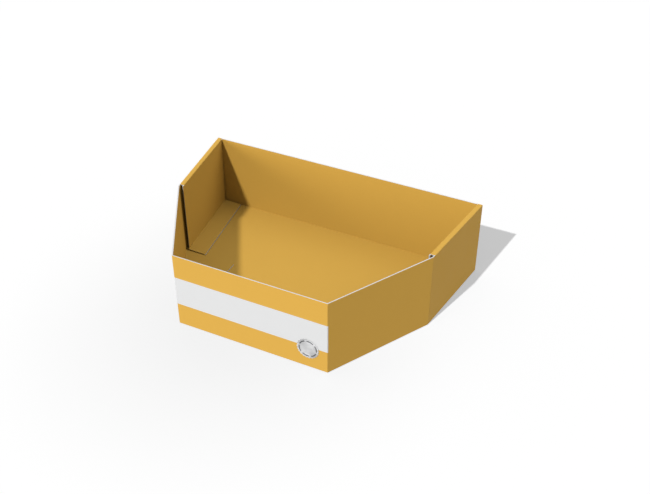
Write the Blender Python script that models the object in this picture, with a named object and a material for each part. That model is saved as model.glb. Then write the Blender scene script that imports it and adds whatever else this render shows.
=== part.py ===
"""A counter display tray folded from printed board.

Seen from above it has six sides: a narrow front, two slanted corners, two rear sides that spread a little
towards the back, and a wide back. The front, the back and the rear sides fold up from the base. The corner
panels stand on it and are glued to it with triangular flaps. Each rear side rolls over at the top: side panel,
rim, inner wall, and a flange that lies loosely over the base. The back's end tabs are glued inside these double
walls.

Metres, +Z up. The front faces -Y, and the origin is under the middle of the base.
"""

import math

import bmesh
import bpy
from mathutils import Matrix, Vector

# The outer faces, seen from above
FRONT_WIDTH = 0.157  # front panel, from fold to fold
BEND_WIDTH = 0.273  # across the tray at the upright folds in its sides
BACK_WIDTH = 0.300  # across the tray at the back
FRONT_DEPTH = 0.101  # from the front panel to the side folds
REAR_DEPTH = 0.100  # from the side folds to the back panel

# The board
WALL_HEIGHT = 0.081
BOARD = 0.0011  # thickness
GAP = 0.0003  # clearance where panels meet at a fold or lie on each other

# Rims, the tops of the double walls
RIM_WIDTH = 0.0051  # room for side panel, back tab and inner wall
RIM_SETBACK = 0.0034  # from the side folds to their front ends

# Inner walls and the floor flanges at their feet
EDGE_SLANT = math.radians(40.0)  # the cut of their front ends, which lean back from their upper faces
FLANGE_WIDTH = 0.020
FLANGE_LEAD = 0.0018  # how far their front ends reach past those of the inner walls
FLANGE_SLOPE = math.radians(2.0)  # they spring up a little at the crease
FLANGE_LIFT = 0.0009  # how far their free edges stay off the base
SWING = math.radians(12.0)  # how far an inner wall swings in before it meets the back

# Corner flaps, the triangles at the feet of the corner panels
FLAP_INSET = 0.002  # from the end of the front panel to the flap's long free edge
FLAP_SETBACK = 0.0016  # from the side folds to the flap's rear edge

# Back tabs, hidden in the double walls
TAB_LENGTH = 0.030
TAB_TAPER = math.radians(12.0)  # slope of the upper and lower edges

# Foil seal on the front panel
SEAL_DIAMETER = 0.0225
SEAL_TEETH = 22
TOOTH_DEPTH = 0.0009
SEAL_THICKNESS = 0.0002
SEAL_FROM_FOLD = 0.0195  # its middle, from the front panel's right-hand fold
SEAL_HEIGHT = 0.022  # its middle, above the table

# What follows from these sizes
Y_FRONT = -(FRONT_DEPTH + REAR_DEPTH) / 2
Y_BEND = Y_FRONT + FRONT_DEPTH
Y_BACK = Y_BEND + REAR_DEPTH
ON_BASE = BOARD + GAP  # underside of what lies on the base
UNDER_RIM = WALL_HEIGHT - BOARD - GAP  # top of what stands under a rim
CREASE_HEIGHT = BOARD + FLANGE_LIFT + BOARD * math.cos(FLANGE_SLOPE) + FLANGE_WIDTH * math.sin(FLANGE_SLOPE)
BLOCK = 2 * (BACK_WIDTH + FRONT_DEPTH + REAR_DEPTH)  # larger than any panel that is cut from it

RIGHTWARD = Vector((1, 0, 0))
BACKWARD = Vector((0, 1, 0))
UP = Vector((0, 0, 1))

YELLOW_PRINT = (0.87, 0.51, 0.10)
PRINT_ROUGHNESS = 0.55
SILVER_FOIL = (0.75, 0.75, 0.76)
FOIL_ROUGHNESS = 0.3


def shifted(face, distance):
    """The plane, moved along its own normal."""
    point, normal = face
    return point + normal * distance, normal


def turned(face, pivot, axis, angle):
    """The plane, turned about an axis."""
    point, normal = face
    turn = Matrix.Rotation(angle, 3, axis)
    return pivot + turn @ (point - pivot), turn @ normal


def fold(line_point, along, normal_a, normal_b):
    """The plane that parts two panels whose faces meet in a line, halfway between the two."""
    return line_point, along.cross(normal_a + normal_b).normalized()


def cut_board(inside, faces, folds=()):
    """A flat-sided solid around a point: a block cut by planes, each keeping the side that holds the point.

    Faces cut where they are. Folds leave half of the gap to the panel on their other side.
    """
    body = bmesh.new()
    bmesh.ops.create_cube(body, size=BLOCK, matrix=Matrix.Translation(inside))
    cuts = [(face, 0.0) for face in faces] + [(face, GAP / 2) for face in folds]
    for (point, normal), clearance in cuts:
        outward = normal if normal.dot(inside - point) < 0 else -normal
        geometry = body.verts[:] + body.edges[:] + body.faces[:]
        cut = bmesh.ops.bisect_plane(
            body, geom=geometry, plane_co=point - outward * clearance, plane_no=outward, clear_outer=True
        )
        rim = [item for item in cut["geom_cut"] if isinstance(item, bmesh.types.BMEdge)]
        if rim:
            bmesh.ops.contextual_create(body, geom=rim)
    bmesh.ops.recalc_face_normals(body, faces=body.faces)
    return body


def toothed_disc(radius, teeth, depth, thickness):
    """A disc facing -Y with pointed teeth around its edge."""
    body = bmesh.new()
    corners = []
    for step in range(2 * teeth):
        angle = math.pi * step / teeth
        reach = radius - depth * (step % 2)
        corners.append(body.verts.new((reach * math.cos(angle), 0, reach * math.sin(angle))))
    disc = body.faces.new(corners)
    raised = bmesh.ops.extrude_face_region(body, geom=[disc])
    moved = [item for item in raised["geom"] if isinstance(item, bmesh.types.BMVert)]
    bmesh.ops.translate(body, verts=moved, vec=-BACKWARD * thickness)
    bmesh.ops.recalc_face_normals(body, faces=body.faces)
    return body


def finish(name, colour, roughness, metallic):
    """A plain surface of one colour."""
    material = bpy.data.materials.new(name)
    material.use_nodes = True
    shader = material.node_tree.nodes["Principled BSDF"]
    shader.inputs["Base Color"].default_value = (*colour, 1)
    shader.inputs["Roughness"].default_value = roughness
    shader.inputs["Metallic"].default_value = metallic
    return material


def stand(name, body, origin, along, parent):
    """Makes a node of the body, with its origin at a point and its local X along a crease."""
    placed = Matrix.Translation(origin) @ Matrix.Rotation(math.atan2(along.y, along.x), 4, "Z")
    body.transform(placed.inverted())
    mesh = bpy.data.meshes.new(name)
    body.to_mesh(mesh)
    body.free()
    node = bpy.data.objects.new(name, mesh)
    bpy.context.collection.objects.link(node)
    node.matrix_basis = placed
    node.parent = parent
    node.matrix_parent_inverse = parent.matrix_basis.inverted()
    return node


def board_panel(name, body, origin, along, parent):
    """A node of printed board."""
    node = stand(name, body, origin, along, parent)
    node.data.materials.append(finish(name, YELLOW_PRINT, PRINT_ROUGHNESS, 0.0))
    return node


for leftover in list(bpy.data.objects):
    bpy.data.objects.remove(leftover, do_unlink=True)

tray = bpy.data.objects.new("tray", None)
bpy.context.collection.objects.link(tray)

# Faces and folds that run across the whole tray
underside = (Vector(), -UP)
base_top = shifted(underside, -BOARD)
wall_top = (UP * WALL_HEIGHT, UP)
front_face = (BACKWARD * Y_FRONT, -BACKWARD)
front_inside = shifted(front_face, -BOARD)
back_face = (BACKWARD * Y_BACK, BACKWARD)
back_inside = shifted(back_face, -BOARD)
front_foot = fold(front_face[0], RIGHTWARD, -BACKWARD, -UP)
back_foot = fold(back_face[0], RIGHTWARD, BACKWARD, -UP)

base_edges = []
base_folds = [front_foot, back_foot]
front_folds = [front_foot]
back_folds = [back_foot]
notches = []

for side, sign in (("left", -1), ("right", 1)):
    # The three upright corners of this side, at table level
    front_corner = Vector((sign * FRONT_WIDTH / 2, Y_FRONT, 0))
    bend = Vector((sign * BEND_WIDTH / 2, Y_BEND, 0))
    back_corner = Vector((sign * BACK_WIDTH / 2, Y_BACK, 0))
    corner_along = (bend - front_corner).normalized()
    side_along = (back_corner - bend).normalized()
    corner_out = sign * corner_along.cross(UP)
    side_out = sign * side_along.cross(UP)
    corner_face = (front_corner, corner_out)
    side_face = (bend, side_out)
    hinge_along = sign * side_along  # turning about this swings inner walls in and flanges up

    # Corner panel and the flap at its foot, which lies on the base
    front_fold = fold(front_corner, UP, -BACKWARD, corner_out)
    side_fold = fold(bend, UP, corner_out, side_out)
    flap_crease = front_corner + UP * ON_BASE
    flap_fold = fold(flap_crease, corner_along, corner_out, -UP)
    corner_middle = (front_corner + bend) / 2 + UP * WALL_HEIGHT / 2 - corner_out * BOARD / 2
    board_panel(
        side + "_corner_panel",
        cut_board(
            corner_middle,
            [corner_face, shifted(corner_face, -BOARD), wall_top],
            [front_fold, side_fold, flap_fold],
        ),
        flap_crease,
        corner_along,
        tray,
    )
    flap_edge = (front_corner - RIGHTWARD * sign * FLAP_INSET, RIGHTWARD * sign)
    flap_rear = (bend - BACKWARD * FLAP_SETBACK, BACKWARD)
    flap_tip = shifted(front_inside, -GAP)
    flap_underside = (UP * ON_BASE, -UP)
    flap_corner = Vector((front_corner.x, bend.y, 0))
    flap_middle = (front_corner + bend + flap_corner) / 3 + UP * (ON_BASE + BOARD / 2)
    board_panel(
        side + "_corner_flap",
        cut_board(
            flap_middle,
            [flap_underside, shifted(flap_underside, -BOARD), flap_edge, flap_rear, flap_tip],
            [flap_fold],
        ),
        flap_crease,
        corner_along,
        tray,
    )

    # Side panel, the outer layer of the double wall
    side_foot = fold(bend, side_along, side_out, -UP)
    side_top = fold(bend + UP * WALL_HEIGHT, side_along, side_out, UP)
    side_middle = (bend + back_corner) / 2 - side_out * BOARD / 2 + UP * WALL_HEIGHT / 2
    board_panel(
        side + "_side_panel",
        cut_board(
            side_middle,
            [side_face, shifted(side_face, -BOARD), back_face],
            [side_foot, side_top, side_fold],
        ),
        bend,
        side_along,
        tray,
    )

    # Rim, the narrow top of the double wall, cut square a little behind the side fold
    rim_end = (bend + side_along * RIM_SETBACK, -BACKWARD)
    swing_line = bend - side_out * RIM_WIDTH + UP * WALL_HEIGHT
    rim_fold = fold(swing_line, side_along, -side_out, UP)
    rim_middle = (bend + back_corner) / 2 - side_out * RIM_WIDTH / 2 + UP * (WALL_HEIGHT - BOARD / 2)
    rim = board_panel(
        side + "_rim",
        cut_board(
            rim_middle,
            [wall_top, shifted(wall_top, -BOARD), rim_end, back_face],
            [side_top, rim_fold],
        ),
        bend + UP * WALL_HEIGHT,
        side_along,
        tray,
    )

    # Inner wall, hinged on the rim's inner crease. Its front edge stands just behind the inner edge of the side
    # fold, and is cut on a slant so that it faces the fold. Its rear edge is cut to clear the back when it swings in.
    bend_inside = bend - (corner_out + side_out) * BOARD / (1 + corner_out.dot(side_out))
    wall_start = swing_line + side_along * ((bend_inside.y + GAP - swing_line.y) / side_along.y)
    front_end = turned((wall_start, -BACKWARD), wall_start, UP, sign * EDGE_SLANT)
    inner_face = shifted(side_face, -RIM_WIDTH)
    flange_up = UP * math.cos(FLANGE_SLOPE) - side_out * math.sin(FLANGE_SLOPE)
    flange_out = -side_out * math.cos(FLANGE_SLOPE) - UP * math.sin(FLANGE_SLOPE)
    flange_line = bend - side_out * RIM_WIDTH + UP * CREASE_HEIGHT
    flange_fold = fold(flange_line, side_along, -side_out, flange_up)
    rear_end = turned(shifted(back_inside, -GAP), swing_line, hinge_along, -SWING)
    inner_middle = side_middle - side_out * (RIM_WIDTH - BOARD)
    inner_wall = board_panel(
        side + "_inner_wall",
        cut_board(
            inner_middle,
            [inner_face, shifted(inner_face, BOARD), front_end, rear_end],
            [rim_fold, flange_fold],
        ),
        swing_line,
        hinge_along,
        rim,
    )

    # Floor flange, hinged at the foot of the inner wall. Its free edge rests on the base, and its front end is
    # undercut.
    flange_start = flange_line + side_along * ((wall_start.y - FLANGE_LEAD - flange_line.y) / side_along.y)
    undercut = -BACKWARD * math.cos(EDGE_SLANT) - flange_up * math.sin(EDGE_SLANT)
    flange_end = (flange_start, undercut.normalized())
    flange_top = (flange_line, flange_up)
    free_edge = (flange_line + flange_out * FLANGE_WIDTH, flange_out)
    flange_middle = flange_line + (side_along * REAR_DEPTH + flange_out * FLANGE_WIDTH - flange_up * BOARD) / 2
    board_panel(
        side + "_floor_flange",
        cut_board(
            flange_middle,
            [flange_top, shifted(flange_top, -BOARD), free_edge, flange_end, rear_end],
            [flange_fold],
        ),
        flange_line,
        hinge_along,
        inner_wall,
    )

    # Back tab, glued to the side panel inside the double wall, with sloping edges that help it in
    tab_face = shifted(side_face, -(BOARD + GAP))
    tab_reach = (BOARD + GAP) / side_out.dot(RIGHTWARD)
    tab_crease = back_corner - RIGHTWARD * tab_reach
    tab_fold = fold(tab_crease, UP, BACKWARD, side_out)
    tab_end = (tab_crease - side_along * TAB_LENGTH, -side_along)
    tab_high = tab_crease + UP * UNDER_RIM
    tab_low = tab_crease + UP * ON_BASE
    tab_top = turned((tab_high, UP), tab_high, side_out, sign * TAB_TAPER)
    tab_bottom = turned((tab_low, -UP), tab_low, side_out, -sign * TAB_TAPER)
    tab_middle = tab_crease - side_along * TAB_LENGTH / 2 - side_out * BOARD / 2 + UP * WALL_HEIGHT / 2
    board_panel(
        side + "_back_tab",
        cut_board(
            tab_middle,
            [tab_face, shifted(tab_face, -BOARD), tab_end, tab_top, tab_bottom],
            [tab_fold],
        ),
        tab_crease,
        side_along,
        tray,
    )

    base_edges.append(corner_face)
    base_folds.append(side_foot)
    front_folds.append(front_fold)
    back_folds.append(tab_fold)
    notches.append(((UP * UNDER_RIM, -UP), shifted(inner_face, -GAP), back_corner + UP * WALL_HEIGHT))

base_middle = BACKWARD * Y_BEND + UP * BOARD / 2
board_panel(
    "base_panel",
    cut_board(base_middle, [underside, base_top] + base_edges, base_folds),
    Vector(),
    RIGHTWARD,
    tray,
)

front_middle = front_face[0] + BACKWARD * BOARD / 2 + UP * WALL_HEIGHT / 2
front_panel = board_panel(
    "front_panel",
    cut_board(front_middle, [front_face, front_inside, wall_top], front_folds),
    front_face[0],
    RIGHTWARD,
    tray,
)

# The back panel reaches the top between the rims, and passes under them at both ends
back_middle = back_face[0] - BACKWARD * BOARD / 2 + UP * WALL_HEIGHT / 2
back_panel = board_panel(
    "back_panel",
    cut_board(back_middle, [back_face, back_inside, wall_top], back_folds),
    back_face[0],
    RIGHTWARD,
    tray,
)
for notch_floor, notch_side, corner in notches:
    cutter = stand("notch_cutter", cut_board(corner, [notch_floor, notch_side]), corner, RIGHTWARD, tray)
    cutter.hide_render = True
    cutter.display_type = "WIRE"
    notch = back_panel.modifiers.new("rim notch", "BOOLEAN")
    notch.operation = "DIFFERENCE"
    notch.object = cutter

seal_middle = Vector((FRONT_WIDTH / 2 - SEAL_FROM_FOLD, Y_FRONT - GAP, SEAL_HEIGHT))
seal_body = toothed_disc(SEAL_DIAMETER / 2, SEAL_TEETH, TOOTH_DEPTH, SEAL_THICKNESS)
seal_body.transform(Matrix.Translation(seal_middle))
seal = stand("foil_seal", seal_body, seal_middle, RIGHTWARD, front_panel)
seal.data.materials.append(finish("foil_seal", SILVER_FOIL, FOIL_ROUGHNESS, 1.0))
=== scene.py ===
"""The looks of a counter display tray folded from printed board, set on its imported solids."""

import math

import bpy
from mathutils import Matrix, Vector
from mathutils.geometry import normal as face_normal


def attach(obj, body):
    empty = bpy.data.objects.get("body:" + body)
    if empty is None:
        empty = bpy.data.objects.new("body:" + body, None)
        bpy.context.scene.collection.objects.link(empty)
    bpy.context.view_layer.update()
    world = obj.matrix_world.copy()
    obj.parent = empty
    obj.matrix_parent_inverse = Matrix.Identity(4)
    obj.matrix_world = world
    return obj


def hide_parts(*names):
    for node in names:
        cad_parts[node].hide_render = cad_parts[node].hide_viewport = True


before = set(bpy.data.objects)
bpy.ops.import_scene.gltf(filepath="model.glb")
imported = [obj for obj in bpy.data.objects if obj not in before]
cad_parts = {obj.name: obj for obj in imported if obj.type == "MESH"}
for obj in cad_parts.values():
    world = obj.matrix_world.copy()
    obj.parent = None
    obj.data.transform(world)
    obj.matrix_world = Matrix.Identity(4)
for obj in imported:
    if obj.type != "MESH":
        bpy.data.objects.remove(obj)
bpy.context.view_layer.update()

# Base: the six-sided floor of the tray. It is fine-fluted board, printed yellow on both faces, with white
# cut edges, and is die-cut and scored in one sheet with the walls, which fold up from it at the front, the
# back and the rear sides. Its two slanted edges stay cut, and the corner panels stand on them.
BOARD = 0.0011
FOLD_RADIUS = 0.0008  # outside of a fold
FOLD_STEPS = 5
BURR = 0.00006  # softness of a cut edge
FOOT_RADIUS = 0.0005  # softness of the base's slanted edges, rubbed on the table
EDGE_SLANT = math.radians(40)  # how far a slanted cut leans back from the outer face
FRONT = Vector((0.0785, -0.1005, 0))  # the right-hand corners of the floor, at table level
BEND = Vector((0.1365, 0.0005, 0))
BACK = Vector((0.150, 0.1005, 0))


def add(tree, kind, feeds=None, **settings):
    """A node, with its settings and with inputs that are set or fed by a socket."""
    node = tree.nodes.new(kind)
    for setting, value in settings.items():
        setattr(node, setting, value)
    for name, value in (feeds or {}).items():
        if isinstance(value, bpy.types.NodeSocket):
            tree.links.new(value, node.inputs[name])
        else:
            node.inputs[name].default_value = value
    return node


def math_node(tree, operation, *values, clamp=False):
    """The result of one sum."""
    node = add(tree, "ShaderNodeMath", dict(enumerate(values)), operation=operation, use_clamp=clamp)
    return node.outputs[0]


def ranged(tree, value, start, end, low, high, smooth=False):
    """A value spread from one range to another, and held at the ends."""
    feeds = {"Value": value, "From Min": start, "From Max": end, "To Min": low, "To Max": high}
    curve = "SMOOTHSTEP" if smooth else "LINEAR"
    return add(tree, "ShaderNodeMapRange", feeds, interpolation_type=curve).outputs[0]


def uneven(tree, place, scale, **shape):
    """Noise over the surface."""
    return add(tree, "ShaderNodeTexNoise", {"Vector": place, "Scale": scale, **shape}).outputs["Fac"]


def blended(tree, factor, first, second):
    """A colour between two colours."""
    return add(tree, "ShaderNodeMix", {0: factor, 6: first, 7: second}, data_type="RGBA").outputs[2]


def toned(tree, colour, tone):
    """A colour made lighter or darker."""
    grey = add(tree, "ShaderNodeCombineColor", {"Red": tone, "Green": tone, "Blue": tone}).outputs[0]
    mix = add(tree, "ShaderNodeMix", {0: 1.0, 6: colour, 7: grey}, data_type="RGBA", blend_type="MULTIPLY")
    return mix.outputs[2]


def shared_look(name, inputs, outputs):
    """A shader group with these inputs and outputs, and the sockets at its two ends."""
    group = bpy.data.node_groups.new(name, "ShaderNodeTree")
    for label, kind, value in inputs:
        socket = group.interface.new_socket(label, in_out="INPUT", socket_type=kind)
        if value is not None:
            socket.default_value = value
    for label in outputs:
        group.interface.new_socket(label, in_out="OUTPUT", socket_type="NodeSocketFloat")
    return group, add(group, "NodeGroupInput").outputs, add(group, "NodeGroupOutput").inputs


# Fine paper fibres, and the slow unevenness that the board's flutes and the press leave in a printed solid
FIBRE_GLOSS = 0.06  # how far the fibres and the unevenness change the gloss
MOTTLE_GLOSS = 0.12
board_grain, takes, gives = shared_look(
    "board grain",
    [
        ("Place", "NodeSocketVector", None),
        ("Fibre Size", "NodeSocketFloat", 0.0005),
        ("Mottle Size", "NodeSocketFloat", 0.022),
        ("Fibre Strength", "NodeSocketFloat", 0.02),
        ("Mottle Strength", "NodeSocketFloat", 0.02),
    ],
    ["Tone", "Height", "Gloss Shift"],
)
fibre_scale = math_node(board_grain, "DIVIDE", 1.0, takes["Fibre Size"])
mottle_scale = math_node(board_grain, "DIVIDE", 1.0, takes["Mottle Size"])
fibres = uneven(board_grain, takes["Place"], fibre_scale, Detail=3.0, Roughness=0.6, Distortion=1.6)
mottle = uneven(board_grain, takes["Place"], mottle_scale, Detail=2.0)
fibre_swing = math_node(board_grain, "SUBTRACT", fibres, 0.5)
mottle_swing = math_node(board_grain, "SUBTRACT", mottle, 0.5)
fine_tone = math_node(board_grain, "MULTIPLY_ADD", fibre_swing, takes["Fibre Strength"], 1.0)
whole_tone = math_node(board_grain, "MULTIPLY_ADD", mottle_swing, takes["Mottle Strength"], fine_tone)
fine_gloss = math_node(board_grain, "MULTIPLY", fibre_swing, FIBRE_GLOSS)
gloss_shift = math_node(board_grain, "MULTIPLY_ADD", mottle_swing, MOTTLE_GLOSS, fine_gloss)
board_grain.links.new(whole_tone, gives["Tone"])
board_grain.links.new(fibres, gives["Height"])
board_grain.links.new(gloss_shift, gives["Gloss Shift"])

# Thin broken lines along the folds, where the ink has cracked a little and been handled
RUB_START = 0.35  # share of the way round a fold
CRACK_SCALE = 420.0
SOUND_INK = 0.45  # in the noise, where the ink is still whole
BROKEN_INK = 0.68
SOUND_RUB = 0.1  # how much whole ink is rubbed
fold_rub, takes, gives = shared_look(
    "fold rub",
    [("Place", "NodeSocketVector", None), ("Amount", "NodeSocketFloat", 0.4)],
    ["Mask"],
)
round_fold = add(fold_rub, "ShaderNodeAttribute", attribute_name="fold_share").outputs["Fac"]
at_ridge = ranged(fold_rub, round_fold, RUB_START, 1.0, 0.0, 1.0, smooth=True)
cracks = uneven(fold_rub, takes["Place"], CRACK_SCALE, Detail=4.0, Roughness=0.7)
broken = ranged(fold_rub, cracks, SOUND_INK, BROKEN_INK, SOUND_RUB, 1.0)
rub = math_node(fold_rub, "MULTIPLY", at_ridge, broken)
rub_mask = math_node(fold_rub, "MULTIPLY", rub, takes["Amount"], clamp=True)
fold_rub.links.new(rub_mask, gives["Mask"])

# The yellow print. As in the photograph, the light that it throws is duller than its own colour.
YELLOW_INK = (0.840, 0.485, 0.089, 1)
RUBBED_INK = (0.90, 0.62, 0.22, 1)  # worn thin along a fold
INNER_TONE = (0.32, 0.227, 0.10, 1)  # what it throws inside the tray
OUTER_TONE = (0.10, 0.10, 0.10, 1)  # what it throws on the table and inside the double walls
INK_ROUGHNESS = 0.52
BOARD_SHINE = 0.05
TOOTH_STRENGTH = 0.12  # of the paper's surface
TOOTH_DEPTH = 0.00004


def new_finish(name):
    """A new material, its tree and its shader."""
    material = bpy.data.materials.new(name)
    material.use_nodes = True
    return material, material.node_tree, material.node_tree.nodes["Principled BSDF"]


def board_material(name, roughness):
    """A new material of satin board, with its tree, its shader, the piece's coordinates and the grain."""
    material, tree, shader = new_finish(name)
    shader.inputs["Specular IOR Level"].default_value = BOARD_SHINE
    place = add(tree, "ShaderNodeTexCoord").outputs["Object"]
    grain = add(tree, "ShaderNodeGroup", {"Place": place}, node_tree=board_grain)
    gloss = math_node(tree, "ADD", grain.outputs["Gloss Shift"], roughness)
    tree.links.new(gloss, shader.inputs["Roughness"])
    tooth_feeds = {"Strength": TOOTH_STRENGTH, "Distance": TOOTH_DEPTH, "Height": grain.outputs["Height"]}
    tooth = add(tree, "ShaderNodeBump", tooth_feeds)
    tree.links.new(tooth.outputs[0], shader.inputs["Normal"])
    return material, tree, shader, place, grain


def worn_ink(tree, place, grain):
    """Yellow ink with the grain's tone, worn thin along the folds."""
    rubbed = add(tree, "ShaderNodeGroup", {"Place": place}, node_tree=fold_rub).outputs["Mask"]
    return toned(tree, blended(tree, rubbed, YELLOW_INK, RUBBED_INK), grain.outputs["Tone"])


def dull_when_thrown(tree, colour, tone):
    """The colour as it is seen, and a duller one in the light that it throws on other surfaces."""
    return blended(tree, add(tree, "ShaderNodeLightPath").outputs["Is Diffuse Ray"], colour, tone)


def yellow_print(name, tone):
    """A solid of yellow ink."""
    material, tree, shader, place, grain = board_material(name, INK_ROUGHNESS)
    colour = dull_when_thrown(tree, worn_ink(tree, place, grain), tone)
    tree.links.new(colour, shader.inputs["Base Color"])
    return material


inner_print = yellow_print("inner_print", INNER_TONE)
outer_print = yellow_print("outer_print", OUTER_TONE)

# The cut edge shows two white liners and, between them, the wave of the flutes, with painted shade in the
# hollows beside the flutes
BARE_PAPER = (0.90, 0.895, 0.88, 1)
PAINTED_FLUTE_SHADE = (0.78, 0.77, 0.75, 1)  # painted shade in the hollows between the flutes
PAPER_ROUGHNESS = 0.85
EDGE_FIBRE_SIZE = 0.0003
EDGE_FIBRE_STRENGTH = 0.25
FLUTE_PITCH = 0.0024
FLUTE_SWING = 0.33  # this and the next four are shares of the board's thickness
FLUTE_PAPER = 0.10  # from the flute's middle
FLUTE_GAP = 0.24
LINER_GAP = 0.32  # from the board's middle
LINER_PAPER = 0.40
cut_edge, tree, shader, place, grain = board_material("cut_edge", PAPER_ROUGHNESS)
grain.inputs["Fibre Size"].default_value = EDGE_FIBRE_SIZE
grain.inputs["Fibre Strength"].default_value = EDGE_FIBRE_STRENGTH
edge_place = add(tree, "ShaderNodeUVMap", uv_map="edge").outputs[0]
on_edge = add(tree, "ShaderNodeSeparateXYZ", {0: edge_place}).outputs
wave = math_node(tree, "SINE", math_node(tree, "MULTIPLY", on_edge[0], 2 * math.pi / FLUTE_PITCH))
middle = math_node(tree, "MULTIPLY_ADD", wave, FLUTE_SWING, 0.5)
from_flute = math_node(tree, "ABSOLUTE", math_node(tree, "SUBTRACT", on_edge[1], middle))
from_middle = math_node(tree, "ABSOLUTE", math_node(tree, "SUBTRACT", on_edge[1], 0.5))
# Painted shade: away from the flutes and the liners, the edge takes the darker colour of the hollows
flute = ranged(tree, from_flute, FLUTE_PAPER, FLUTE_GAP, 1.0, 0.0, smooth=True)
liner = ranged(tree, from_middle, LINER_GAP, LINER_PAPER, 0.0, 1.0, smooth=True)
paper_share = math_node(tree, "MAXIMUM", flute, liner)
edge_colour = toned(tree, blended(tree, paper_share, PAINTED_FLUTE_SHADE, BARE_PAPER), grain.outputs["Tone"])
tree.links.new(edge_colour, shader.inputs["Base Color"])

OUTER_SLOT = 0  # a panel's finishes, in their order
EDGE_SLOT = 1
INNER_SLOT = 2
SAME_DIGITS = 7  # points that agree to so many decimals are one point


def edge_profile(edge):
    """How a panel ends at an edge: inset, depth and turn at each step from the outer to the inner face."""
    low = BOARD - BURR
    if edge in ("cut", "flush", "slant"):
        lean = EDGE_SLANT if edge == "slant" else 0
        last_turn = math.pi / 2 + lean
        radius = FOOT_RADIUS if edge == "flush" else BURR
        set_in = radius * math.tan(last_turn / 2)
        burr = 0 if edge == "flush" else BURR
    else:
        lean = 0 if edge == "butt" else math.radians(edge) / 2
        last_turn = lean
        radius = FOLD_RADIUS if lean > 0 else 0
        set_in = radius * math.tan(lean)
        burr = 0
    profile = []
    for step in range(FOLD_STEPS + 1):
        turn = last_turn * step / FOLD_STEPS
        profile.append((set_in - radius * math.sin(turn), radius - radius * math.cos(turn), turn))
    return profile + [(low * math.tan(lean), low, None), (BOARD * math.tan(lean) + burr, BOARD, None)]


def placed(name, data):
    """A new object in the scene, at the origin."""
    thing = bpy.data.objects.new(name, data)
    bpy.context.collection.objects.link(thing)
    return thing


def folded_panel(name, corners, edges, outside=inner_print, inside=inner_print):
    """A panel of the board: a closed sheet with rounded folds, soft cut edges and exact shading.

    The corners go round its outer face, counterclockwise seen from outside. The edges, each from a corner to
    the next, are a fold's angle in degrees (below 0 where this face is on the inner side), "cut" for a bare
    cut edge, "slant" for one that leans back, "flush" for a cut edge in the print's colour, or "butt" for
    one that stands against another panel.
    """
    count = len(corners)
    out = face_normal(corners)
    along = [(corners[(i + 1) % count] - corners[i]).normalized() for i in range(count)]
    inward = [out.cross(direction) for direction in along]
    profiles = [edge_profile(edge) for edge in edges]
    last = FOLD_STEPS + 2
    rings = []
    for step in range(last + 1):
        ring = []
        for i in range(count):
            inset_before, depth_before, _ = profiles[i - 1][step]
            inset_after, depth_after, _ = profiles[i][step]
            slide_after = inset_before / along[i].dot(inward[i - 1])
            slide_before = inset_after / along[i - 1].dot(inward[i])
            flat = corners[i] + along[i] * slide_after + along[i - 1] * slide_before
            ring.append(flat - out * max(depth_before, depth_after))
        rings.append(ring)

    points = []
    shares = []
    numbers = {}
    faces = []
    slots = []
    normals = []
    edge_map = []

    def point(step, i):
        """The number of a point, shared by all faces that meet there."""
        key = tuple(round(value, SAME_DIGITS) for value in rings[step][i])
        if key not in numbers:
            numbers[key] = len(points)
            points.append(rings[step][i])
            folded = any(isinstance(edges[j], (int, float)) and edges[j] > 0 for j in (i - 1, i))
            shares.append(step / FOLD_STEPS if folded and step <= FOLD_STEPS else 0.0)
        return numbers[key]

    def face(loop, slot, shading, spread):
        """One face, without the corners that fall together."""
        kept = {}
        for spot, normal, flat in zip(loop, shading, spread):
            kept.setdefault(point(*spot), (normal, flat))
        if len(kept) > 2:
            faces.append(list(kept))
            slots.append(slot)
            normals.extend(normal for normal, _ in kept.values())
            edge_map.extend(flat for _, flat in kept.values())

    def flat_place(step, i):
        """A point's place on its face, for the edge map."""
        reach = rings[step][i] - corners[0]
        return reach.dot(along[0]), reach.dot(inward[0])

    outer_loop = [(0, i) for i in range(count)]
    inner_loop = [(last, i) for i in reversed(range(count))]
    face(outer_loop, OUTER_SLOT, [out] * count, [flat_place(*spot) for spot in outer_loop])
    face(inner_loop, INNER_SLOT, [-out] * count, [flat_place(*spot) for spot in inner_loop])
    for i in range(count):
        j = (i + 1) % count
        for step in range(last):
            loop = [(step + 1, i), (step + 1, j), (step, j), (step, i)]
            if step < FOLD_STEPS:
                turns = [profiles[i][ring][2] for ring, _ in loop]
                shading = [out * math.cos(turn) - inward[i] * math.sin(turn) for turn in turns]
            else:
                first, second, third = [rings[ring][k] for ring, k in loop[:3]]
                shading = [(second - first).cross(third - first).normalized()] * 4
            reaches = [rings[ring][k] - corners[i] for ring, k in loop]
            spread = [(reach.dot(along[i]), -reach.dot(out) / BOARD) for reach in reaches]
            slot = OUTER_SLOT if step <= FOLD_STEPS else INNER_SLOT
            if step == FOLD_STEPS and edges[i] in ("cut", "slant"):
                slot = EDGE_SLOT
            face(loop, slot, shading, spread)

    mesh = bpy.data.meshes.new(name)
    mesh.from_pydata(points, [], faces)
    for finish in (outside, cut_edge, inside):
        mesh.materials.append(finish)
    mesh.polygons.foreach_set("material_index", slots)
    mesh.attributes.new("fold_share", "FLOAT", "POINT").data.foreach_set("value", shares)
    layer = mesh.uv_layers.new(name="edge")
    layer.data.foreach_set("uv", [value for pair in edge_map for value in pair])
    mesh.normals_split_custom_set(normals)
    return placed(name, mesh)


def mirrored(point):
    """The same point on the left-hand side."""
    return Vector((-point.x, point.y, point.z))


base = folded_panel(
    "base_board",
    [mirrored(FRONT), mirrored(BEND), mirrored(BACK), BACK, BEND, FRONT],
    ["flush", 90, 90, 90, "flush", 90],
    outside=outer_print,
)
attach(base, "tray")
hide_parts("base_panel")

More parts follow.
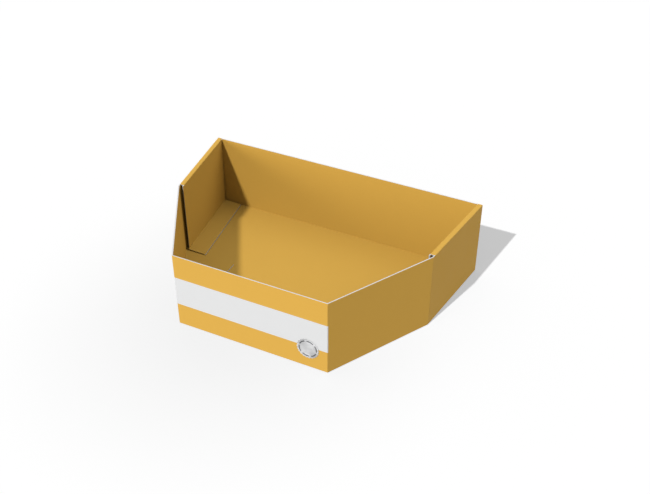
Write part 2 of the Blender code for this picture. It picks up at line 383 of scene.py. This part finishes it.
# Front panel: the low front wall, of the same board, folded up from the base and joined to the corner
# panels by upright folds. A band across its outer face, and just round these folds, is left unprinted, so
# the white of the board shows there.
WALL_HEIGHT = 0.081
BAND_FOOT = 0.0245
BAND_TOP = 0.0557
BAND_LAP = 0.0004  # how far the band goes round the folds
INK_BLEED = 0.00006  # how much the ink's edge wanders
BLEED_SCALE = 1500.0
WHITE_BOARD = (0.86, 0.86, 0.855, 1)
UP = Vector((0, 0, 1))
corner_along = (BEND - FRONT).normalized()
side_along = (BACK - BEND).normalized()
corner_out = corner_along.cross(UP)
side_out = side_along.cross(UP)
FRONT_FOLD = math.degrees(Vector((0, -1, 0)).angle(corner_out))
SIDE_FOLD = math.degrees(corner_out.angle(side_out))

front_print, tree, shader, place, grain = board_material("front_print", INK_ROUGHNESS)
wander = uneven(tree, place, BLEED_SCALE, Detail=2.0)
spot = add(tree, "ShaderNodeSeparateXYZ", {0: place}).outputs
wandering = math_node(tree, "MULTIPLY_ADD", math_node(tree, "SUBTRACT", wander, 0.5), INK_BLEED, spot[2])
from_band = math_node(tree, "SUBTRACT", wandering, (BAND_FOOT + BAND_TOP) / 2)
band_half = (BAND_TOP - BAND_FOOT) / 2
in_height = math_node(tree, "LESS_THAN", math_node(tree, "ABSOLUTE", from_band), band_half)
in_width = math_node(tree, "LESS_THAN", math_node(tree, "ABSOLUTE", spot[0]), FRONT.x + BAND_LAP)
in_band = math_node(tree, "MULTIPLY", in_height, in_width)
white = toned(tree, WHITE_BOARD, grain.outputs["Tone"])
front_colour = blended(tree, in_band, worn_ink(tree, place, grain), white)
tree.links.new(dull_when_thrown(tree, front_colour, OUTER_TONE), shader.inputs["Base Color"])

front = folded_panel(
    "front_board",
    [mirrored(FRONT), FRONT, FRONT + UP * WALL_HEIGHT, mirrored(FRONT) + UP * WALL_HEIGHT],
    [90, FRONT_FOLD, "cut", FRONT_FOLD],
    outside=front_print,
)
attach(front, "tray")
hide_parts("front_panel")

# Corner panels and their flaps: the slanted walls between the front and the sides, of the same board,
# standing on the base's cut edges. A triangular flap at the foot of each is folded in, lies on the base and
# is glued down to it.
GAP = 0.0003  # between panels that lie on each other
FLAP_EDGE = 0.0765  # the flap's long free edge, from the middle of the tray
FLAP_TIP = FRONT.y + BOARD + GAP
FLAP_REAR = -0.0011
SIDES = (("left", -1), ("right", 1))
flap_top = UP * (2 * BOARD + GAP)
crease_start = FRONT - corner_out * BOARD


def on_crease(depth):
    """The place on the corner panel's inner face that is this far back."""
    return crease_start + corner_along * ((depth - crease_start.y) / corner_along.y)


def on_side(hand, corners, edges):
    """A right-hand panel's corners and edges, or their mirror image for the left."""
    if hand > 0:
        return corners, edges
    count = len(corners)
    turned_edges = [edges[(count - 2 - i) % count] for i in range(count)]
    return [mirrored(corner) for corner in reversed(corners)], turned_edges


for side, hand in SIDES:
    foot = UP * BOARD
    top = UP * WALL_HEIGHT
    wall_corners = [FRONT + foot, BEND + foot, BEND + top, FRONT + top]
    wall_edges = ["butt", SIDE_FOLD, "cut", FRONT_FOLD]
    wall_shape = on_side(hand, wall_corners, wall_edges)
    wall = folded_panel(side + "_corner_board", *wall_shape, outside=front_print)
    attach(wall, "tray")
    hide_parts(side + "_corner_panel")
    flap_corners = [
        Vector((FLAP_EDGE, FLAP_TIP, 0)) + flap_top,
        on_crease(FLAP_TIP) + flap_top,
        on_crease(FLAP_REAR) + flap_top,
        Vector((FLAP_EDGE, FLAP_REAR, 0)) + flap_top,
    ]
    flap = folded_panel(side + "_flap_board", *on_side(hand, flap_corners, ["cut", "butt", "cut", "cut"]))
    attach(flap, "tray")
    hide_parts(side + "_corner_flap")

# Side panels and rims: the outer layer of each double wall, of the same board and folded up from the base,
# and the narrow top that rolls over it. The rim starts a little behind the side fold, and the top of the
# side panel is a bare cut edge there.
RIM_WIDTH = 0.0051
RIM_SETBACK = 0.0034
RIM_NICK = 0.00001  # the unfolded stretch of a wall's top, below the fold line
rim_in = -side_out * RIM_WIDTH
rim_start = (BEND + side_along * RIM_SETBACK).y


def along_side(start, depth):
    """The place that is this far back on a line along the side."""
    return start + side_along * ((depth - start.y) / side_along.y)


for side, hand in SIDES:
    top = UP * WALL_HEIGHT
    bare_top = UP * (WALL_HEIGHT - RIM_NICK)
    fold_end = along_side(BEND, rim_start)
    wall_corners = [BEND, BACK, BACK + top, fold_end + top, fold_end + bare_top, BEND + bare_top]
    wall_edges = [90, "cut", 90, "butt", "cut", SIDE_FOLD]
    wall_shape = on_side(hand, wall_corners, wall_edges)
    wall = folded_panel(side + "_side_board", *wall_shape, outside=outer_print, inside=outer_print)
    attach(wall, "tray")
    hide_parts(side + "_side_panel")
    inner_line = BEND + rim_in + top
    rim_corners = [
        fold_end + top,
        BACK + top,
        along_side(inner_line, BACK.y),
        along_side(inner_line, rim_start),
    ]
    rim_edges = [90, "cut", 90, "cut"]
    rim = folded_panel(side + "_rim_board", *on_side(hand, rim_corners, rim_edges), inside=outer_print)
    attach(rim, "tray")
    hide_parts(side + "_rim")

# Inner walls: the inner layer of each double wall, of the same board, hanging from the rim's inner crease,
# on which it can swing in. The front edge is cut on a slant and faces the side fold. The rear edge is
# trimmed back towards the foot, so that it clears the back panel when it swings.
CREASE_HEIGHT = 0.003797  # the crease at the foot
INNER_START = 0.00116  # the front edge
FLANGE_SLOPE = math.radians(2.0)  # the flange springs up a little at the crease
TRIM_TOP = BACK.y - BOARD - GAP
TRIM_FOOT = 0.0969
CREASE_TURN = -(90 - math.degrees(FLANGE_SLOPE))

for side, hand in SIDES:
    top = UP * WALL_HEIGHT
    bare_top = UP * (WALL_HEIGHT - RIM_NICK)
    foot = UP * CREASE_HEIGHT
    inner_line = BEND + rim_in
    wall_corners = [
        along_side(inner_line, TRIM_FOOT) + foot,
        along_side(inner_line, INNER_START) + foot,
        along_side(inner_line, INNER_START) + bare_top,
        along_side(inner_line, rim_start) + bare_top,
        along_side(inner_line, rim_start) + top,
        along_side(inner_line, TRIM_TOP) + top,
    ]
    wall_edges = [CREASE_TURN, "slant", "cut", "butt", 90, "cut"]
    wall = folded_panel(side + "_inner_board", *on_side(hand, wall_corners, wall_edges), inside=outer_print)
    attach(wall, side + "_inner_wall")
    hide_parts(side + "_inner_wall")

# Floor flanges: the strips at the feet of the inner walls, of the same board, folded in along a crease so
# that they lie loosely over the base. They aren't glued, so each slopes down a little from its crease to its
# free edge and can be lifted. The front end is undercut.
FLANGE_WIDTH = 0.020
FLANGE_LEAD = 0.0018  # how far its front end reaches past the inner wall's
CREASE_NICK = 0.00003  # keeps it just clear of the inner wall
flange_start = INNER_START - FLANGE_LEAD
flange_out = -side_out * math.cos(FLANGE_SLOPE) - UP * math.sin(FLANGE_SLOPE)

for side, hand in SIDES:
    crease = BEND + rim_in + UP * CREASE_HEIGHT
    near_edge = crease + flange_out * CREASE_NICK
    free_edge = crease + flange_out * FLANGE_WIDTH
    flange_corners = [
        along_side(near_edge, flange_start),
        along_side(near_edge, TRIM_FOOT),
        along_side(free_edge, TRIM_FOOT),
        along_side(free_edge, flange_start),
    ]
    flange_shape = on_side(hand, flange_corners, [CREASE_TURN, "cut", "cut", "slant"])
    flange = folded_panel(side + "_flange_board", *flange_shape, inside=outer_print)
    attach(flange, side + "_floor_flange")
    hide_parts(side + "_floor_flange")

# Back panel and its tabs: the wide rear wall, a single layer of the same board, folded up from the base and
# notched at the top corners to pass under the rims. The tabs fold forwards at its ends and are glued inside
# the double walls.
UNDER_RIM = WALL_HEIGHT - BOARD - GAP
TAB_LENGTH = 0.030
TAB_FOOT = BOARD + GAP
TAB_TAPER = math.tan(math.radians(12))
TAB_FOLD = math.degrees(Vector((0, 1, 0)).angle(side_out))
tab_crease = BACK - Vector(((BOARD + GAP) / side_out.x, 0, 0))
notch = BACK - Vector(((RIM_WIDTH + GAP) / side_out.x, 0, 0))

back_right = [notch + UP * WALL_HEIGHT, notch + UP * UNDER_RIM, tab_crease + UP * UNDER_RIM, tab_crease]
back = folded_panel(
    "back_board",
    back_right + [mirrored(corner) for corner in reversed(back_right)],
    ["cut", "cut", TAB_FOLD, 90, TAB_FOLD, "cut", "cut", "cut"],
    outside=outer_print,
)
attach(back, "tray")
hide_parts("back_panel")

for side, hand in SIDES:
    tab_end = tab_crease - side_along * TAB_LENGTH
    tab_corners = [
        tab_end + UP * (TAB_FOOT + TAB_LENGTH * TAB_TAPER),
        tab_crease + UP * TAB_FOOT,
        tab_crease + UP * UNDER_RIM,
        tab_end + UP * (UNDER_RIM - TAB_LENGTH * TAB_TAPER),
    ]
    tab_shape = on_side(hand, tab_corners, ["cut", TAB_FOLD, "cut", "cut"])
    tab = folded_panel(side + "_tab_board", *tab_shape, outside=outer_print, inside=outer_print)
    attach(tab, "tray")
    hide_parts(side + "_back_tab")

# Seal: a round sticker of silver foil on paper, die-cut with a toothed edge and stuck on the front panel.
# Ribs are pressed into its border, and a ring of plain arcs is printed inside them. Its middle is bare.
SEAL_MIDDLE = Vector((0.059, FRONT.y, 0.022))
SEAL_RADIUS = 0.01125
FOIL = (0.70, 0.70, 0.705, 1)
FOIL_INK = (0.10, 0.10, 0.105, 1)
FOIL_ROUGHNESS = (0.28, 0.42)
SPECKLE_SCALE = 6000.0
CRINKLE_SCALE = 260.0
CRINKLE_TONES = (0.90, 1.06)
CRINKLE_STRENGTH = 0.25
CRINKLE_DEPTH = 0.0002
NOISE_SPAN = (0.3, 0.7)  # where most of the noise lies
PAINTED_SHEEN_TURN = math.radians(140)  # where the painted sheen of the brushed foil is darkest, from the seal's right
PAINTED_SHEEN_SIDES = 2.0  # the painted sheen is darkest on opposite sides
PAINTED_SHEEN_SHIFT = 0.4  # towards the dark
PAINTED_SHEEN_DEPTH = 0.16  # how much darker the painted sheen makes the foil's edge there

silver_foil, tree, shader = new_finish("silver_foil")
place = add(tree, "ShaderNodeTexCoord").outputs["Object"]
crinkle = uneven(tree, place, CRINKLE_SCALE, Detail=3.0)
speckle = uneven(tree, place, SPECKLE_SCALE, Detail=2.0)
inked = add(tree, "ShaderNodeAttribute", attribute_name="inked").outputs["Fac"]
# Painted sheen: the foil's colour is darkened towards its edge on two opposite sides, where brushed foil
# reflects less
on_seal = add(tree, "ShaderNodeVectorMath", {0: place, 1: SEAL_MIDDLE}, operation="SUBTRACT").outputs[0]
spread = add(tree, "ShaderNodeSeparateXYZ", {0: on_seal}).outputs
round_seal = math_node(tree, "ARCTAN2", spread[2], spread[0])
swept = math_node(tree, "MULTIPLY_ADD", round_seal, PAINTED_SHEEN_SIDES, -PAINTED_SHEEN_SIDES * PAINTED_SHEEN_TURN)
painted_sheen_darkness = math_node(tree, "ADD", math_node(tree, "COSINE", swept), PAINTED_SHEEN_SHIFT)
from_centre = add(tree, "ShaderNodeVectorMath", {0: on_seal}, operation="LENGTH").outputs["Value"]
towards_edge = math_node(tree, "MULTIPLY", from_centre, -PAINTED_SHEEN_DEPTH / SEAL_RADIUS)
painted_sheen = math_node(tree, "MULTIPLY", painted_sheen_darkness, towards_edge)
crinkle_and_painted_sheen = math_node(tree, "ADD", ranged(tree, crinkle, *NOISE_SPAN, *CRINKLE_TONES), painted_sheen)
foil_colour = toned(tree, blended(tree, inked, FOIL, FOIL_INK), crinkle_and_painted_sheen)
tree.links.new(dull_when_thrown(tree, foil_colour, OUTER_TONE), shader.inputs["Base Color"])
thrown = add(tree, "ShaderNodeLightPath").outputs["Is Diffuse Ray"]
dull = math_node(tree, "MAXIMUM", inked, thrown)
tree.links.new(math_node(tree, "SUBTRACT", 1.0, dull), shader.inputs["Metallic"])
tree.links.new(ranged(tree, speckle, *NOISE_SPAN, *FOIL_ROUGHNESS), shader.inputs["Roughness"])
crinkle_feeds = {"Strength": CRINKLE_STRENGTH, "Distance": CRINKLE_DEPTH, "Height": crinkle}
tree.links.new(add(tree, "ShaderNodeBump", crinkle_feeds).outputs[0], shader.inputs["Normal"])

# The seal's mesh: the rings are placed by shares of its radius
POINTS_A_TOOTH = 10.0
ARC_GROUP = 3  # arc pieces between gaps
BEAD_STEPS = 96
BEAD_SIDES = 8
WELD = 0.000001
SHARP_TURN = math.radians(35)
seal_sizes = [
    ("Middle", "NodeSocketVector", tuple(SEAL_MIDDLE)),
    ("Radius", "NodeSocketFloat", SEAL_RADIUS),
    ("Thickness", "NodeSocketFloat", 0.00025),
    ("Teeth", "NodeSocketInt", 22),
    ("Tooth Depth", "NodeSocketFloat", 0.0009),
    ("Ribs", "NodeSocketInt", 66),
    ("Rib Ring", "NodeSocketFloat", 0.895),
    ("Rib Size", "NodeSocketVector", (0.0011, 0.00028, 0.00016)),
    ("Arc Pieces", "NodeSocketInt", 24),
    ("Arc Ring", "NodeSocketFloat", 0.765),
    ("Arc Size", "NodeSocketVector", (0.0011, 0.00232, 0.00004)),
    ("Outer Bead Ring", "NodeSocketFloat", 0.835),
    ("Inner Bead Ring", "NodeSocketFloat", 0.62),
    ("Bead Radius", "NodeSocketFloat", 0.00011),
    ("Foil", "NodeSocketMaterial", silver_foil),
]
seal_cut = bpy.data.node_groups.new("toothed seal", "GeometryNodeTree")
sockets = {}
for label, kind, _ in seal_sizes:
    sockets[label] = seal_cut.interface.new_socket(label, in_out="INPUT", socket_type=kind).identifier
seal_cut.interface.new_socket("Seal", in_out="OUTPUT", socket_type="NodeSocketGeometry")
takes = add(seal_cut, "NodeGroupInput").outputs

# The toothed disc
rim_points = math_node(seal_cut, "MULTIPLY", takes["Teeth"], POINTS_A_TOOTH)
disc_feeds = {"Vertices": rim_points, "Radius": takes["Radius"]}
circle = add(seal_cut, "GeometryNodeMeshCircle", disc_feeds, fill_type="NGON").outputs[0]
where = add(seal_cut, "GeometryNodeInputPosition").outputs[0]
spread = add(seal_cut, "ShaderNodeSeparateXYZ", {0: where}).outputs
bearing = math_node(seal_cut, "ARCTAN2", spread[1], spread[0])
ripple = math_node(seal_cut, "COSINE", math_node(seal_cut, "MULTIPLY", bearing, takes["Teeth"]))
notch_share = math_node(seal_cut, "MULTIPLY_ADD", ripple, -0.5, 0.5)
relative_depth = math_node(seal_cut, "DIVIDE", takes["Tooth Depth"], takes["Radius"])
cut_in = math_node(seal_cut, "MULTIPLY", notch_share, relative_depth)
reach = math_node(seal_cut, "SUBTRACT", 1.0, cut_in)
scaled = add(seal_cut, "ShaderNodeVectorMath", {0: where, "Scale": reach}, operation="SCALE").outputs[0]
toothed = add(seal_cut, "GeometryNodeSetPosition", {"Geometry": circle, "Position": scaled}).outputs[0]
lift_feeds = {"Mesh": toothed, "Offset Scale": takes["Thickness"]}
raised = add(seal_cut, "GeometryNodeExtrudeMesh", lift_feeds).outputs[0]
underside = add(seal_cut, "GeometryNodeFlipFaces", {"Mesh": toothed}).outputs[0]
disc = add(seal_cut, "GeometryNodeJoinGeometry")
seal_cut.links.new(raised, disc.inputs[0])
seal_cut.links.new(underside, disc.inputs[0])
weld_feeds = {"Geometry": disc.outputs[0], "Distance": WELD}
welded = add(seal_cut, "GeometryNodeMergeByDistance", weld_feeds).outputs[0]


def ring_at(share, steps):
    """A circle at this share of the seal's radius."""
    ring_radius = math_node(seal_cut, "MULTIPLY", takes["Radius"], share)
    feeds = {"Resolution": steps, "Radius": ring_radius}
    return add(seal_cut, "GeometryNodeCurvePrimitiveCircle", feeds).outputs[0]


def on_top(shape):
    """A shape set on the disc's outer face."""
    lift = add(seal_cut, "ShaderNodeCombineXYZ", {"Z": takes["Thickness"]}).outputs[0]
    return add(seal_cut, "GeometryNodeTransform", {"Geometry": shape, "Translation": lift}).outputs[0]


def spokes(count, share, size, group=None):
    """Small bars set round the seal, in groups where one bar is left out after each."""
    bar = add(seal_cut, "GeometryNodeMeshCube", {"Size": size}).outputs[0]
    spot = add(seal_cut, "GeometryNodeInputPosition").outputs[0]
    facing = add(seal_cut, "FunctionNodeAlignRotationToVector", {"Vector": spot}, axis="X").outputs[0]
    feeds = {"Points": ring_at(share, count), "Instance": bar, "Rotation": facing}
    if group:
        order = add(seal_cut, "GeometryNodeInputIndex").outputs[0]
        number = math_node(seal_cut, "MODULO", order, group + 1.0)
        feeds["Selection"] = math_node(seal_cut, "LESS_THAN", number, group - 0.5)
    return on_top(add(seal_cut, "GeometryNodeInstanceOnPoints", feeds).outputs[0])


def bead(share):
    """A fine raised ring."""
    section_feeds = {"Resolution": BEAD_SIDES, "Radius": takes["Bead Radius"]}
    section = add(seal_cut, "GeometryNodeCurvePrimitiveCircle", section_feeds).outputs[0]
    wire_feeds = {"Curve": ring_at(share, BEAD_STEPS), "Profile Curve": section}
    return on_top(add(seal_cut, "GeometryNodeCurveToMesh", wire_feeds).outputs[0])


ribs = spokes(takes["Ribs"], takes["Rib Ring"], takes["Rib Size"])
arcs = spokes(takes["Arc Pieces"], takes["Arc Ring"], takes["Arc Size"], ARC_GROUP)
plain_arcs = add(seal_cut, "GeometryNodeRealizeInstances", {0: arcs}).outputs[0]
inked_arcs = add(
    seal_cut,
    "GeometryNodeStoreNamedAttribute",
    {"Geometry": plain_arcs, "Name": "inked", "Value": 1.0},
    data_type="FLOAT",
    domain="POINT",
).outputs[0]
together = add(seal_cut, "GeometryNodeJoinGeometry")
for part in (welded, ribs, inked_arcs, bead(takes["Outer Bead Ring"]), bead(takes["Inner Bead Ring"])):
    seal_cut.links.new(part, together.inputs[0])
upright_feeds = {
    "Geometry": together.outputs[0],
    "Translation": takes["Middle"],
    "Rotation": (math.pi / 2, 0, 0),
}
upright = add(seal_cut, "GeometryNodeTransform", upright_feeds).outputs[0]
whole = add(seal_cut, "GeometryNodeRealizeInstances", {0: upright}).outputs[0]
coloured = add(seal_cut, "GeometryNodeSetMaterial", {"Geometry": whole, "Material": takes["Foil"]})
seal_cut.links.new(coloured.outputs[0], add(seal_cut, "NodeGroupOutput").inputs[0])

pattern = placed("seal_pattern", bpy.data.meshes.new("seal_pattern"))
cutting = pattern.modifiers.new("toothed seal", "NODES")
cutting.node_group = seal_cut
for label, _, value in seal_sizes:
    cutting[sockets[label]] = value
made = pattern.evaluated_get(bpy.context.evaluated_depsgraph_get())
seal_mesh = bpy.data.meshes.new_from_object(made)
bpy.data.objects.remove(pattern)
seal_mesh.name = "seal"
seal_mesh.set_sharp_from_angle(angle=SHARP_TURN)
seal = placed("seal", seal_mesh)
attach(seal, "tray")
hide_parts("foil_seal")

# Table: a plain white sheet that lies under the tray and is wide enough to fill the picture. It keeps the
# tray's shadow and throws an even light on the tray. To the camera and in reflections it looks white, with
# painted shade round the tray: it glows less there, and is least white near the tray's front, left of the
# middle.
SHEET = 8.0
SHEET_WHITE = (0.98, 0.98, 0.98, 1)
SHEET_DARK = (0, 0, 0, 1)
SHEET_ROUGHNESS = 0.9
EVEN_THROW = 0.41  # the light that the sheet throws on the tray, as even as in the photograph
GLOW_WHITE = (1, 1, 1, 1)
PAINTED_SHADE_MIDDLE = Vector((-0.039, -0.090, 0))  # the middle of the painted shade round the tray, where the sheet looks least white
PAINTED_SHADE_GLOW = 0.31
GLOW_FAR = 0.403
PAINTED_SHADE_REACH = 0.252


def ray_kinds(tree):
    """The kinds of ray, and a mask of those that show a thing itself or its reflection."""
    ray = add(tree, "ShaderNodeLightPath").outputs
    seen = math_node(tree, "MAXIMUM", ray["Is Camera Ray"], ray["Is Glossy Ray"])
    return ray, math_node(tree, "MAXIMUM", seen, ray["Is Transmission Ray"])


table_white, tree, shader = new_finish("table_white")
shader.inputs["Roughness"].default_value = SHEET_ROUGHNESS
shader.inputs["Specular IOR Level"].default_value = 0.0
shader.inputs["Emission Color"].default_value = GLOW_WHITE
ray, seen = ray_kinds(tree)
sheet_colour = blended(tree, ray["Is Diffuse Ray"], SHEET_WHITE, SHEET_DARK)
tree.links.new(sheet_colour, shader.inputs["Base Color"])
sheet_place = add(tree, "ShaderNodeTexCoord").outputs["Object"]
way_off = add(tree, "ShaderNodeVectorMath", {0: sheet_place, 1: PAINTED_SHADE_MIDDLE}, operation="DISTANCE")
# Painted shade: the sheet glows less near the tray, so it looks a little grey round it
glow_with_painted_shade = ranged(tree, way_off.outputs["Value"], 0.0, PAINTED_SHADE_REACH, PAINTED_SHADE_GLOW, GLOW_FAR, smooth=True)
thrown = math_node(tree, "MULTIPLY", ray["Is Diffuse Ray"], EVEN_THROW)
tree.links.new(math_node(tree, "MULTIPLY_ADD", seen, glow_with_painted_shade, thrown), shader.inputs["Emission Strength"])
half = SHEET / 2
sheet_corners = [(-half, -half, 0), (half, -half, 0), (half, half, 0), (-half, half, 0)]
table_mesh = bpy.data.meshes.new("table")
table_mesh.from_pydata(sheet_corners, [], [(0, 1, 2, 3)])
table_mesh.materials.append(table_white)
table = placed("table", table_mesh)

# Light: a strong lamp from the front, high up and a little to the left, soft boxes overhead, high on the
# right and low at the front left, and an evenly lit room. The lamp and boxes are flagged off the table. It
# has a smaller lamp of its own in the same place, so the shadow is crisp there and softer inside the tray.
LAMP_AIM = Vector((0.2, 0.8, -0.81))
LAMP_STRENGTH = 1.77
LAMP_SOFTNESS = math.radians(3.5)
TABLE_LAMP_STRENGTH = 1.96
TABLE_LAMP_SOFTNESS = math.radians(1)
COOL_DAYLIGHT = (0.50, 0.67, 1.0)
PLAIN_WHITE = (1.0, 1.0, 1.0)
SOFT_BOXES = (  # each with its place, width, height, power and colour
    ("top_box", Vector((0, 0, 5.0)), 5.8, 5.8, 51.0, COOL_DAYLIGHT),
    ("high_box", Vector((3.0, 1.4, 3.4)), 4.0, 4.0, 64.0, PLAIN_WHITE),
    ("front_box", Vector((-3.6, -3.5, 1.0)), 5.0, 2.0, 101.0, PLAIN_WHITE),
)
ROOM_LIGHT = 0.177


def turned(thing, direction):
    """A lamp or camera turned to look this way."""
    thing.rotation_euler = direction.to_track_quat("-Z", "Y").to_euler()
    return thing


def studio_lamp(name, strength, softness):
    """A strong lamp from the front."""
    data = bpy.data.lights.new(name, "SUN")
    data.energy = strength
    data.angle = softness
    return turned(placed(name, data), LAMP_AIM)


def soft_box(name, place, width, height, power, colour):
    """A large even lamp that faces the tray and isn't seen itself."""
    data = bpy.data.lights.new(name, "AREA")
    data.shape = "RECTANGLE"
    data.size = width
    data.size_y = height
    data.energy = power
    data.color = colour
    box = turned(placed(name, data), -place)
    box.location = place
    box.visible_camera = False
    return box


tray_lights = [studio_lamp("studio_lamp", LAMP_STRENGTH, LAMP_SOFTNESS)]
tray_lights += [soft_box(*box) for box in SOFT_BOXES]
flagged = bpy.data.collections.new("flagged off")
flagged.objects.link(table)
flagged.collection_objects[0].light_linking.link_state = "EXCLUDE"
for light in tray_lights:
    light.light_linking.receiver_collection = flagged
table_lamp = studio_lamp("table_lamp", TABLE_LAMP_STRENGTH, TABLE_LAMP_SOFTNESS)
table_only = bpy.data.collections.new("table only")
table_only.objects.link(table)
table_lamp.light_linking.receiver_collection = table_only

room = bpy.data.worlds.new("room")
room.use_nodes = True
tree = room.node_tree
background = tree.nodes["Background"].inputs
background["Color"].default_value = GLOW_WHITE
_, seen = ray_kinds(tree)
tree.links.new(math_node(tree, "MAXIMUM", seen, ROOM_LIGHT), background["Strength"])
bpy.context.scene.world = room

# Camera: a plain camera that looks down on the tray from the front and a little from the right.
# Its place and lens come from the tray's corners in the photograph.
CAMERA_PLACE = Vector((0.34637, -0.66006, 0.60425))
CAMERA_AIM = Vector((-0.00609, 0.06951, 0))
CAMERA_LENS = 52.776
CAMERA_SENSOR = 36
CAMERA_REACH = 50

camera_data = bpy.data.cameras.new("camera")
camera_data.lens = CAMERA_LENS
camera_data.sensor_width = CAMERA_SENSOR
camera_data.clip_end = CAMERA_REACH
camera = turned(placed("camera", camera_data), CAMERA_AIM - CAMERA_PLACE)
camera.location = CAMERA_PLACE
bpy.context.scene.camera = camera
bpy.context.scene.view_settings.view_transform = "Standard"
